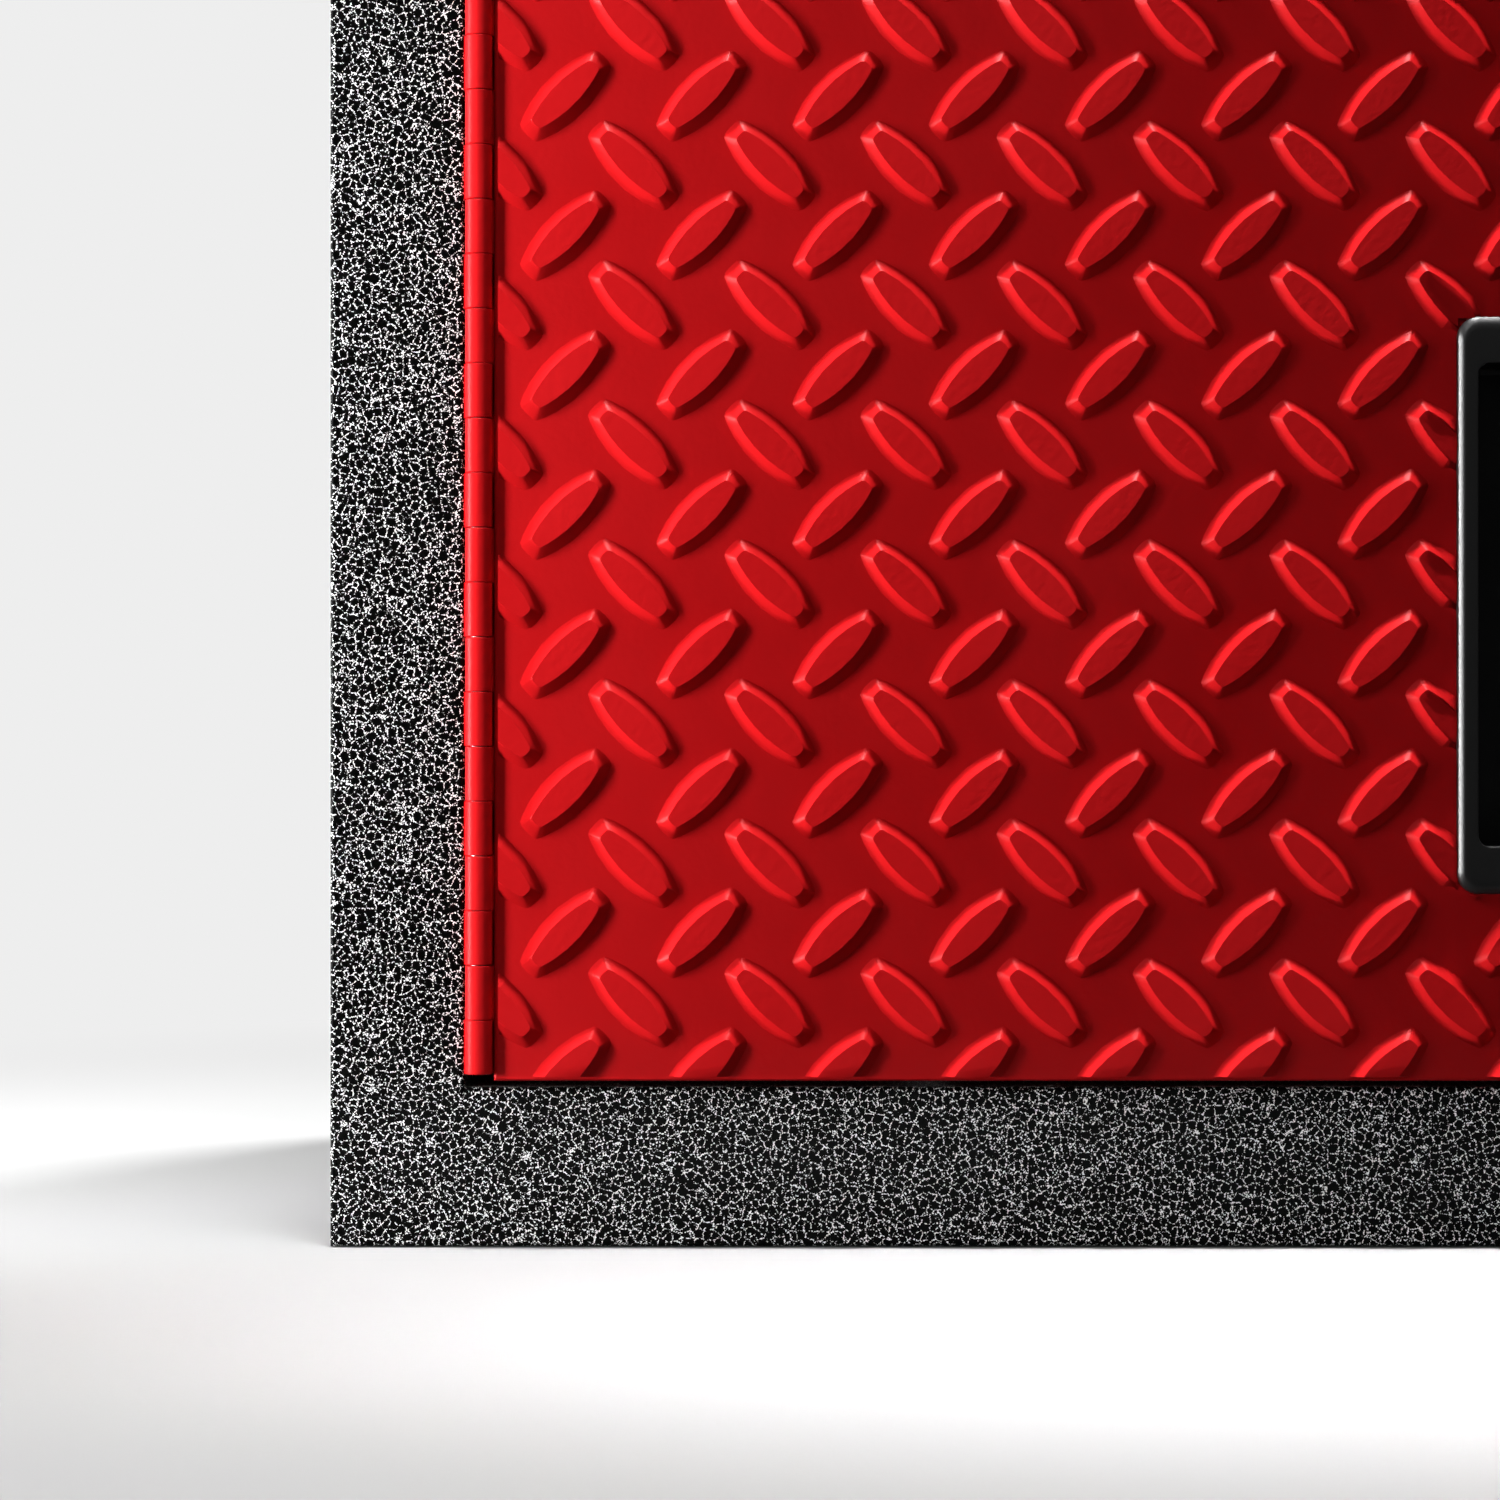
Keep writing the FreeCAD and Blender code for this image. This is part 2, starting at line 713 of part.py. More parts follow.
def handle_clips(name, side):
    body = new_body(f"{name}_handle_clips", several_solids=True)
    skin_back = door_front + size.door_sheet
    clip_x = (under_inner, recess_outer - size.handle_clip_width)
    for wall, away in ((cup_low, -1), (cup_high, 1)):
        angle = polygon(
            (skin_back, wall),
            (skin_back + size.clip_leg, wall),
            (skin_back + size.clip_leg, wall + away * size.clip_steel),
            (skin_back + size.clip_steel, wall + away * size.clip_steel),
            (skin_back + size.clip_steel, wall + away * size.clip_leg),
            (skin_back, wall + away * size.clip_leg),
        )
        for start in clip_x:
            pad(body, "YZ", *between(side * start, side * (start + size.handle_clip_width)), angle)


# Magnetic catches behind both rails, and what meets them on the doors

pole_low = (size.catch_height - size.magnet_height) / 2 - size.pole_sheet
magnet_low = pole_low + size.pole_sheet
magnet_high = magnet_low + size.magnet_height
pole_high = magnet_high + size.pole_sheet


def catch(end):
    seat = size.rail_height
    top = upright(seat + size.catch_height, end)
    housing = new_body(f"{end}_catch_housing")
    pad(
        housing,
        "XY",
        *between(upright(seat, end), top),
        rectangle(-size.catch_half, size.catch_half, catch_front, catch_front + size.catch_depth),
    )

    def slots(low, high):
        levels = between(upright(seat + low, end), upright(seat + high, end))
        return [side_rectangle(side, size.pole_start, size.pole_end, *levels) for word, side in SIDES]

    pocket(housing, "XZ", catch_front, catch_front + size.magnet_depth, *slots(pole_low, pole_high))
    holes = [
        circle(side * size.bumper_place, catch_middle, size.screw + size.screw_play * 2)
        for word, side in SIDES
    ]
    pocket(housing, "XY", *between(upright(seat, end), top), *holes)

    magnets = new_body(f"{end}_catch_magnets", several_solids=True)
    pad(magnets, "XZ", catch_front, catch_front + size.magnet_depth, *slots(magnet_low, magnet_high))

    poles = new_body(f"{end}_catch_poles", several_solids=True)
    plates = slots(pole_low, magnet_low) + slots(magnet_high, pole_high)
    pad(poles, "XZ", pole_front, catch_front + size.magnet_depth, *plates)


for end in ("lower", "upper"):
    catch(end)

screws = new_body("catch_screws", several_solids=True)
for end in ("lower", "upper"):
    seat = size.rail_height + size.catch_height
    head = between(upright(seat, end), upright(seat + size.screw_head_height, end))
    shank = between(upright(size.rail_height - size.sheet - size.screw_end, end), upright(seat, end))
    for span, diameter in ((head, size.screw_head), (shank, size.screw)):
        rounds = [circle(side * size.bumper_place, catch_middle, diameter) for word, side in SIDES]
        pad(screws, "XY", *span, *rounds)


def strike_plate(name, side, end):
    body = new_body(f"{name}_{end}_strike")
    low = size.rail_height + size.door_gap + size.strike_inset
    levels = between(upright(low, end), upright(low + size.strike_height, end))
    near_x = size.pole_start - size.strike_margin
    far_x = size.pole_end + size.strike_margin
    outline = side_rectangle(side, near_x, far_x, *levels)
    pad(body, "XZ", liner_back, liner_back + size.strike_sheet, outline)


def bumpers(name, side):
    body = new_body(f"{name}_bumpers", several_solids=True)
    level = size.rail_height + size.catch_height / 2
    levels = (upright(level, end) for end in ("lower", "upper"))
    rounds = [circle(side * size.bumper_place, middle, size.bumper) for middle in levels]
    pad(body, "XZ", liner_back, catch_front - size.strike_gap, *rounds)


for name, side in SIDES:
    door_skin(name, side)
    door_liner(name, side)
    door_stiffener(name, side)
    handle(name, side)
    handle_clips(name, side)
    for end in ("lower", "upper"):
        strike_plate(name, side, end)
    bumpers(name, side)


# Badge: a sloped frame on the bottom rail's right end, round a bare insert

badge_right = half_width - size.badge_side
badge_left = badge_right - size.badge_width
badge_high = size.rail_height - size.badge_top


def badge_outline(inset):
    return rectangle(badge_left + inset, badge_right - inset, size.badge_low + inset, badge_high - inset)


badge_frame = new_body("badge_frame")
badge_face = front - size.badge_proud
pad(badge_frame, "XZ", badge_face, front, badge_outline(0), badge_outline(size.badge_bar))
dress_edges(badge_frame, "Chamfer", size.badge_slope, lambda edge: lies_at(edge, y=badge_face))

badge_insert = new_body("badge_insert")
pad(badge_insert, "XZ", front - size.insert_proud, front, badge_outline(size.badge_bar + size.insert_play))


# Check every object, then write one file for each sub-part

doc.recompute()
faults = [item.Label for item in doc.Objects if {"Invalid", "Error"} & set(item.State)]
for item in subparts:
    if item.Shape.isNull() or not item.Shape.isValid() or not item.Shape.Solids:
        faults.append(item.Label)
if faults:
    raise RuntimeError("failed objects: " + ", ".join(faults))

os.makedirs("parts", exist_ok=True)
for item in subparts:
    item.Shape.exportStep(f"parts/{item.Label}.step")
    print(f"{item.Label}: {len(item.Shape.Solids)} solids, {item.Shape.Volume / 1000:.1f} cm3")
print(len(subparts), "sub-parts")
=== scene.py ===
import json
from math import cos, pi, radians, sin

import bmesh
import bpy
from mathutils import Matrix, Vector


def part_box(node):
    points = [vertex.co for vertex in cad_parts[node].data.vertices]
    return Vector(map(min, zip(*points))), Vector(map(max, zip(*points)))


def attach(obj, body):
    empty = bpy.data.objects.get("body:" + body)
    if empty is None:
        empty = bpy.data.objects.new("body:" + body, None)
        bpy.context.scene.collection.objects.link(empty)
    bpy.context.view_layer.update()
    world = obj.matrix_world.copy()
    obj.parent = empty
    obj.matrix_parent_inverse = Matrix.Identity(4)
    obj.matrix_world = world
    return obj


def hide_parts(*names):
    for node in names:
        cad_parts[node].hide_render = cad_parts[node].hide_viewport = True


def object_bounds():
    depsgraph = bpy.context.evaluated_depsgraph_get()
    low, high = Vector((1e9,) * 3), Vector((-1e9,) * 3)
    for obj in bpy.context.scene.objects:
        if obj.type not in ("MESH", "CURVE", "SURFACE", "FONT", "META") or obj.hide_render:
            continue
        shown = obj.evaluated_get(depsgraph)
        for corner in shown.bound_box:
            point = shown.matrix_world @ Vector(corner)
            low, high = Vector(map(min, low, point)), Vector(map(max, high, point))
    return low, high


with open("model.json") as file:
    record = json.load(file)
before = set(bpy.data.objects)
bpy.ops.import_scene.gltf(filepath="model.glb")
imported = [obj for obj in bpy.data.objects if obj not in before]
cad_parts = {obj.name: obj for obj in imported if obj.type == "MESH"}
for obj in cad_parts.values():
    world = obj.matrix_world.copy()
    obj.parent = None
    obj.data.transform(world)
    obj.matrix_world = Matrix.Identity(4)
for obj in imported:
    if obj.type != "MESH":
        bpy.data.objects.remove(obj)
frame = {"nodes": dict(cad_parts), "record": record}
cad_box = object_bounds()

# Sizes are in millimetres, except where a comment says metres
MM = 0.001
SIDES = (("left", -1), ("right", 1))


def mm(*lengths):
    """Lengths in millimetres as a vector in metres."""
    return Vector(lengths) * MM


# Places in the frame that several pieces share, in metres

body_low = cad_box[0]
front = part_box("left_side_panel")[0].y
door_low, door_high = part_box("right_door_skin")
door_face = door_low.y
handle_low, handle_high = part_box("right_handle")
leaf_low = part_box("right_hinge_door_leaf")[0]
frame_leaf_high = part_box("right_hinge_frame_leaf")[1]


# Nodes of materials and of geometry trees


def add(tree, kind, inputs=None, **settings):
    """Add a node, give it its settings, and link or set its inputs, by name or by number.

    A colour mix takes its share at 0 and its two colours at 6 and 7, and gives its colour at output 2. A map
    range takes its value at 0, the range that it comes from at 1 and 2, and the one it goes to at 3 and 4.
    """
    node = tree.nodes.new(kind)
    for name, value in settings.items():
        setattr(node, name, value)
    for socket, value in (inputs or {}).items():
        if isinstance(value, bpy.types.NodeSocket):
            tree.links.new(value, node.inputs[socket])
        else:
            node.inputs[socket].default_value = value
    return node


def linear(hex_colour):
    """An sRGB hex colour as the linear colour that Blender works in."""
    channels = [int(hex_colour[start:start + 2], 16) / 255 for start in (1, 3, 5)]
    return [c / 12.92 if c <= 0.04045 else ((c + 0.055) / 1.055) ** 2.4 for c in channels] + [1.0]


def per_mm(length):
    """The texture scale that makes one cell or wave this many millimetres long."""
    return 1 / (length * MM)


def new_material(name, **surface):
    """A material with one principled shader; surface gives the shader's own values."""
    material = bpy.data.materials.new(name)
    material.use_nodes = True
    tree = material.node_tree
    tree.nodes.clear()
    names = {socket.replace("_", " "): value for socket, value in surface.items()}
    shader = add(tree, "ShaderNodeBsdfPrincipled", names)
    add(tree, "ShaderNodeOutputMaterial", {"Surface": shader.outputs[0]})
    place = add(tree, "ShaderNodeTexCoord").outputs["Object"]
    return material, tree, shader, place


def silver_vein_coat():
    # Silver-vein powder coat, sprayed and baked on steel sheet: black islands 1 to 2 mm across stand up
    # out of a frayed net of bright aluminium veins, so it glitters grey from afar and is black between them.
    material, tree, shader, place = new_material("silver_vein_powder_coat", IOR=1.5)
    shader.inputs["Specular IOR Level"].default_value = 0.05
    # The width of an island and of half a vein
    island = 1.8
    half_vein = 0.01
    # How far, in what grain and how softly a vein's edge frays, and how far and in what waves the net wanders
    fray = 1.0
    fray_grain = 0.36
    softness = 0.02
    wander = 0.8
    wander_wave = 1.0
    # The veins' depth, and how rough and metallic they are beside the islands
    vein_depth = 0.03
    island_roughness = 0.34
    vein_roughness = 0.5
    vein_metal = 0.2
    warp = add(
        tree,
        "ShaderNodeTexNoise",
        {"Vector": place, "Scale": per_mm(wander_wave), "Detail": 2.0, "Roughness": 0.6},
    ).outputs["Color"]
    centred = add(
        tree, "ShaderNodeVectorMath", {0: warp, 1: (0.5, 0.5, 0.5)}, operation="SUBTRACT"
    ).outputs[0]
    push = add(tree, "ShaderNodeVectorMath", {0: centred, "Scale": wander * MM}, operation="SCALE").outputs[0]
    bent = add(tree, "ShaderNodeVectorMath", {0: place, 1: push}, operation="ADD").outputs[0]
    net = add(
        tree, "ShaderNodeTexVoronoi", {"Vector": bent, "Scale": per_mm(island)}, feature="DISTANCE_TO_EDGE"
    ).outputs["Distance"]
    away = add(tree, "ShaderNodeMath", {0: net, 1: island}, operation="MULTIPLY").outputs[0]
    fine = add(
        tree, "ShaderNodeTexNoise", {"Vector": place, "Scale": per_mm(fray_grain), "Detail": 1.0}
    ).outputs[0]
    frayed = add(tree, "ShaderNodeMath", {0: fine, 1: fray, 2: away}, operation="MULTIPLY_ADD").outputs[0]
    edge = half_vein + fray / 2
    silver = add(
        tree, "ShaderNodeMapRange", {0: frayed, 1: edge + softness, 2: edge - softness, 3: 0.0, 4: 1.0}
    ).outputs[0]
    colour = add(
        tree, "ShaderNodeMix", {0: silver, 6: linear("#020202"), 7: linear("#FCFCFC")}, data_type="RGBA"
    ).outputs[2]
    tree.links.new(colour, shader.inputs["Base Color"])
    rough = add(
        tree, "ShaderNodeMapRange", {0: silver, 1: 0.0, 2: 1.0, 3: island_roughness, 4: vein_roughness}
    ).outputs[0]
    tree.links.new(rough, shader.inputs["Roughness"])
    metal = add(tree, "ShaderNodeMath", {0: silver, 1: vein_metal}, operation="MULTIPLY").outputs[0]
    tree.links.new(metal, shader.inputs["Metallic"])
    raised = add(tree, "ShaderNodeMath", {0: 1.0, 1: silver}, operation="SUBTRACT").outputs[0]
    bump = add(tree, "ShaderNodeBump", {"Height": raised, "Distance": vein_depth * MM, "Strength": 1.0})
    tree.links.new(bump.outputs[0], shader.inputs["Normal"])
    return material


def red_gloss_coat():
    # Red polyester powder coat, sprayed and baked on rolled tread plate: a deep gloss red with the shallow
    # orange-peel waves that a baked powder leaves, and a faint drift in colour where it lies thicker.
    material, tree, shader, place = new_material("red_gloss_powder_coat", IOR=1.5, Roughness=0.4)
    shader.inputs["Specular IOR Level"].default_value = 0.07
    # The size of a patch of one colour, and the length and depth of a wave
    patch = 45
    wave = 1.9
    wave_depth = 0.08
    drift = add(
        tree, "ShaderNodeTexNoise", {"Vector": place, "Scale": per_mm(patch), "Detail": 2.0}
    ).outputs[0]
    spread = add(tree, "ShaderNodeMapRange", {0: drift, 1: 0.3, 2: 0.7, 3: 0.0, 4: 1.0}).outputs[0]
    colour = add(
        tree, "ShaderNodeMix", {0: spread, 6: linear("#BE1317"), 7: linear("#C4171B")}, data_type="RGBA"
    ).outputs[2]
    tree.links.new(colour, shader.inputs["Base Color"])
    peel = add(tree, "ShaderNodeTexNoise", {"Vector": place, "Scale": per_mm(wave), "Detail": 2.0}).outputs[0]
    bump = add(tree, "ShaderNodeBump", {"Height": peel, "Distance": wave_depth * MM, "Strength": 1.0})
    tree.links.new(bump.outputs[0], shader.inputs["Normal"])
    return material


def grained(name, base, fleck, roughness, grain, depth, **surface):
    """A plain finish with a fine grain: base and fleck colours, grain size and depth in millimetres."""
    material, tree, shader, place = new_material(name, **surface)
    noise = add(
        tree, "ShaderNodeTexNoise", {"Vector": place, "Scale": per_mm(grain), "Detail": 3.0}
    ).outputs[0]
    spread = add(tree, "ShaderNodeMapRange", {0: noise, 1: 0.35, 2: 0.65, 3: 0.0, 4: 1.0}).outputs[0]
    colour = add(
        tree, "ShaderNodeMix", {0: spread, 6: linear(base), 7: linear(fleck)}, data_type="RGBA"
    ).outputs[2]
    tree.links.new(colour, shader.inputs["Base Color"])
    low, high = roughness
    rough = add(tree, "ShaderNodeMapRange", {0: spread, 1: 0.0, 2: 1.0, 3: low, 4: high}).outputs[0]
    tree.links.new(rough, shader.inputs["Roughness"])
    bump = add(tree, "ShaderNodeBump", {"Height": noise, "Distance": depth * MM, "Strength": 1.0})
    tree.links.new(bump.outputs[0], shader.inputs["Normal"])
    return material


def brushed_aluminium():
    # Die-cast aluminium, brushed along the badge: long fine scratches that streak the light, satin between.
    material, tree, shader, place = new_material("brushed_aluminium", Metallic=1.0)
    # A scratch's length, width and depth
    length = 14
    width = 0.25
    depth = 0.01
    along = add(
        tree, "ShaderNodeMapping", {"Vector": place, "Scale": (per_mm(length), per_mm(width), per_mm(width))}
    ).outputs[0]
    streak = add(tree, "ShaderNodeTexNoise", {"Vector": along, "Scale": 1.0, "Detail": 3.0}).outputs[0]
    colour = add(
        tree, "ShaderNodeMix", {0: streak, 6: linear("#9A9B9D"), 7: linear("#D6D7D9")}, data_type="RGBA"
    ).outputs[2]
    tree.links.new(colour, shader.inputs["Base Color"])
    rough = add(tree, "ShaderNodeMapRange", {0: streak, 1: 0.3, 2: 0.7, 3: 0.3, 4: 0.48}).outputs[0]
    tree.links.new(rough, shader.inputs["Roughness"])
    bump = add(tree, "ShaderNodeBump", {"Height": streak, "Distance": depth * MM, "Strength": 1.0})
    tree.links.new(bump.outputs[0], shader.inputs["Normal"])
    return material


FINISH = {
    "frame_coat": silver_vein_coat(),
    "door_coat": red_gloss_coat(),
    "badge_metal": brushed_aluminium(),
    # Zinc plate on cold-rolled steel: bright, faintly blue, with a soft spangle and fine drawn marks.
    "zinc_steel": grained(
        "bright_zinc_plate", "#A9ACB1", "#C9CCD1",
        roughness=(0.28, 0.42), grain=1.2, depth=0.01, Metallic=1.0,
    ),
    # Black ABS, moulded against a spark-eroded tool: a fine even grain that scatters its highlight.
    "handle_plastic": grained(
        "spark_textured_abs", "#0B0B0B", "#121212",
        roughness=(0.36, 0.44), grain=0.35, depth=0.008, IOR=1.53,
    ),
    # Black acrylic, moulded against a polished tool: a deep clear gloss with hardly any grain.
    "badge_plastic": grained(
        "polished_black_acrylic", "#020202", "#050505",
        roughness=(0.08, 0.12), grain=6.0, depth=0.004, IOR=1.49,
    ),
    # Black nylon, moulded: satin, with the faint mottling of glass fibre near the surface.
    "catch_plastic": grained(
        "moulded_nylon", "#151515", "#1E1E1E",
        roughness=(0.4, 0.5), grain=0.8, depth=0.02, IOR=1.53,
    ),
    # Sintered ferrite, ground flat: dull dark grey with a fine granular break-up.
    "magnet": grained(
        "sintered_ferrite", "#2B2926", "#3A3835",
        roughness=(0.55, 0.7), grain=0.4, depth=0.02, IOR=1.5,
    ),
    # Neoprene, moulded: matt black, bloomed slightly grey.
    "rubber": grained(
        "moulded_neoprene", "#141414", "#1C1C1C",
        roughness=(0.7, 0.82), grain=0.6, depth=0.02, IOR=1.52,
    ),
}
SLOT_OF = {row["node"]: row["material_slot"] for row in frame["record"]["subparts"]}
BODY_OF = {node: body for body, nodes in frame["record"]["behaviour"]["bodies"].items() for node in nodes}


# Making, finishing and placing a piece


def new_object(name, mesh):
    piece = bpy.data.objects.new(name, mesh)
    bpy.context.scene.collection.objects.link(piece)
    return piece


def from_bmesh(name, shape):
    mesh = bpy.data.meshes.new(name)
    shape.to_mesh(mesh)
    shape.free()
    return new_object(name, mesh)


def settle(piece):
    """Turn a piece's live modifiers into its plain mesh."""
    held = piece.evaluated_get(bpy.context.evaluated_depsgraph_get())
    mesh = bpy.data.meshes.new_from_object(held)
    piece.modifiers.clear()
    piece.data = mesh
    mesh.name = piece.name
    return piece


def shade(piece, sharp_angle=32):
    """Smooth shading that keeps the large faces flat and breaks at the sharp edges."""
    mesh = piece.data
    mesh.polygons.foreach_set("use_smooth", [True] * len(mesh.polygons))
    mesh.set_sharp_from_angle(angle=radians(sharp_angle))
    weigh = piece.modifiers.new("flat faces first", "WEIGHTED_NORMAL")
    weigh.keep_sharp = True
    return settle(piece)


def ease(piece, width, segments=2, angle=40):
    """Round a piece's sharp edges by a width in millimetres."""
    bevel = piece.modifiers.new("eased edges", "BEVEL")
    bevel.width = width * MM
    bevel.segments = segments
    bevel.limit_method = "ANGLE"
    bevel.angle_limit = radians(angle)
    return settle(piece)


def finish_piece(piece, node):
    """Give a piece the finish and the body of the CAD node that it stands for."""
    slot = SLOT_OF[node]
    piece.data.materials.clear()
    piece.data.materials.append(FINISH[slot])
    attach(piece, BODY_OF[node])
    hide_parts(node)


def copied_shape(node):
    """A CAD node's shape as one joined surface with whole flat faces."""
    same_place = 0.002 * MM
    same_plane = radians(0.4)
    shape = bmesh.new()
    shape.from_mesh(frame["nodes"][node].data)
    bmesh.ops.remove_doubles(shape, verts=shape.verts[:], dist=same_place)
    bmesh.ops.dissolve_limit(shape, angle_limit=same_plane, verts=shape.verts[:], edges=shape.edges[:])
    return shape


def join_shapes(name, *pieces):
    """One piece made of several, whose meshes are joined."""
    shape = bmesh.new()
    for piece in pieces:
        shape.from_mesh(piece.data)
        bpy.data.objects.remove(piece)
    return from_bmesh(name, shape)


def rounded_outline(x_low, x_high, z_low, z_high, radius, steps=8):
    """Points round a rectangle with rounded corners, anticlockwise as (x, z)."""
    points = []
    corners = ((x_high, z_low, -90), (x_high, z_high, 0), (x_low, z_high, 90), (x_low, z_low, 180))
    for x, z, start in corners:
        inward_x = x - radius if x == x_high else x + radius
        inward_z = z - radius if z == z_high else z + radius
        for step in range(steps + 1):
            turn = radians(start + 90 * step / steps)
            points.append((inward_x + radius * cos(turn), inward_z + radius * sin(turn)))
    return points


def ring_body(name, rings, closed=False):
    """A body lofted through rings of equally many points, capped at both ends or closed on itself."""
    shape = bmesh.new()
    loops = [[shape.verts.new(point) for point in ring] for ring in rings]
    pairs = list(zip(loops, loops[1:] + loops[:1])) if closed else list(zip(loops, loops[1:]))
    for first, second in pairs:
        for number in range(len(first)):
            after = (number + 1) % len(first)
            shape.faces.new((first[number], first[after], second[after], second[number]))
    if not closed:
        shape.faces.new(loops[0][::-1])
        shape.faces.new(loops[-1])
    bmesh.ops.recalc_face_normals(shape, faces=shape.faces[:])
    return from_bmesh(name, shape)


# Geometry trees: a modifier's named inputs are set before the piece is first evaluated


def geometry_tree(name, sockets):
    """A geometry tree with named inputs: sockets gives each name its kind."""
    tree = bpy.data.node_groups.new(name, "GeometryNodeTree")
    tree.interface.new_socket("Geometry", in_out="INPUT", socket_type="NodeSocketGeometry")
    for socket, kind in sockets.items():
        tree.interface.new_socket(socket, in_out="INPUT", socket_type=f"NodeSocket{kind}")
    tree.interface.new_socket("Geometry", in_out="OUTPUT", socket_type="NodeSocketGeometry")
    return tree, add(tree, "NodeGroupInput").outputs


def close_tree(tree, geometry, material):
    """End a tree with Realize Instances and Set Material."""
    whole = add(tree, "GeometryNodeRealizeInstances", {0: geometry}).outputs[0]
    coated = add(tree, "GeometryNodeSetMaterial", {"Geometry": whole, "Material": material}).outputs[0]
    add(tree, "NodeGroupOutput", {0: coated})
    return tree


def grow(name, mesh, tree, values):
    """A plain mesh made by a geometry tree, with its inputs set by their identifiers."""
    piece = new_object(name, mesh)
    modifier = piece.modifiers.new(tree.name, "NODES")
    modifier.node_group = tree
    for item in tree.interface.items_tree:
        if item.in_out == "INPUT" and item.name in values:
            modifier[item.identifier] = values[item.name]
    return settle(piece)


def box_between(tree, low, high):
    """A box between two corners, both of them vector sockets, with its middle and its size."""
    reach = add(tree, "ShaderNodeVectorMath", {0: high, 1: low}, operation="SUBTRACT").outputs[0]
    total = add(tree, "ShaderNodeVectorMath", {0: high, 1: low}, operation="ADD").outputs[0]
    middle = add(tree, "ShaderNodeVectorMath", {0: total, "Scale": 0.5}, operation="SCALE").outputs[0]
    box = add(tree, "GeometryNodeMeshCube", {"Size": reach}).outputs[0]
    placed = add(tree, "GeometryNodeTransform", {"Geometry": box, "Translation": middle}).outputs[0]
    return placed, middle, reach


# Doors: a pan of tread plate. Its lugs stand in two crossed rows, and are cut off where the sheet is cut.

LUG_LENGTH = 25.6
LUG_WIDTH = 11.2
LUG_END = 5.2
LUG_HEIGHT = 2.4
LUG_SIDE_SLOPE = 2.6
LUG_END_SLOPE = 3.0
LUG_SUNK = 0.4
LUG_PITCH_ACROSS = 31.65
LUG_PITCH_UP = 32.41
LUG_COLUMNS = 12
LUG_ROWS = 21
# Places along half a lug, as shares of its half length, closest together where the end is rounded, and the
# power that rounds the end
LUG_PLACES = (0.2, 0.55, 0.8, 0.95, 0.99)
LUG_ROUNDING = 60
# Rings up a lug, each with its share of the slopes and its height: foot in the sheet, shoulder and top
LUG_RINGS = (
    (-LUG_SUNK / LUG_HEIGHT, -LUG_SUNK),
    (0.96, LUG_HEIGHT * 0.975),
    (1.02, LUG_HEIGHT),
)


def lug_mesh():
    """One lug lying along X on the plane Z = 0: a lens with rounded ends, sloping sides and a flat top."""
    along = [-1.0, *(-place for place in LUG_PLACES[::-1]), *LUG_PLACES]
    rings = []
    for inset, height in LUG_RINGS:
        length = LUG_LENGTH - 2 * LUG_END_SLOPE * inset
        shrink = (LUG_WIDTH - 2 * LUG_SIDE_SLOPE * inset) / LUG_WIDTH
        ring = []
        for side in (1, -1):
            for place in along:
                lens = LUG_END / 2 + (LUG_WIDTH - LUG_END) / 2 * (1 - place * place)
                rounded = (1 - abs(place) ** LUG_ROUNDING) ** 0.5
                ring.append(mm(side * place * length / 2, side * lens * rounded * shrink, height))
        rings.append(ring)
    lug = ring_body("lug", rings)
    mesh = lug.data
    bpy.data.objects.remove(lug)
    return mesh


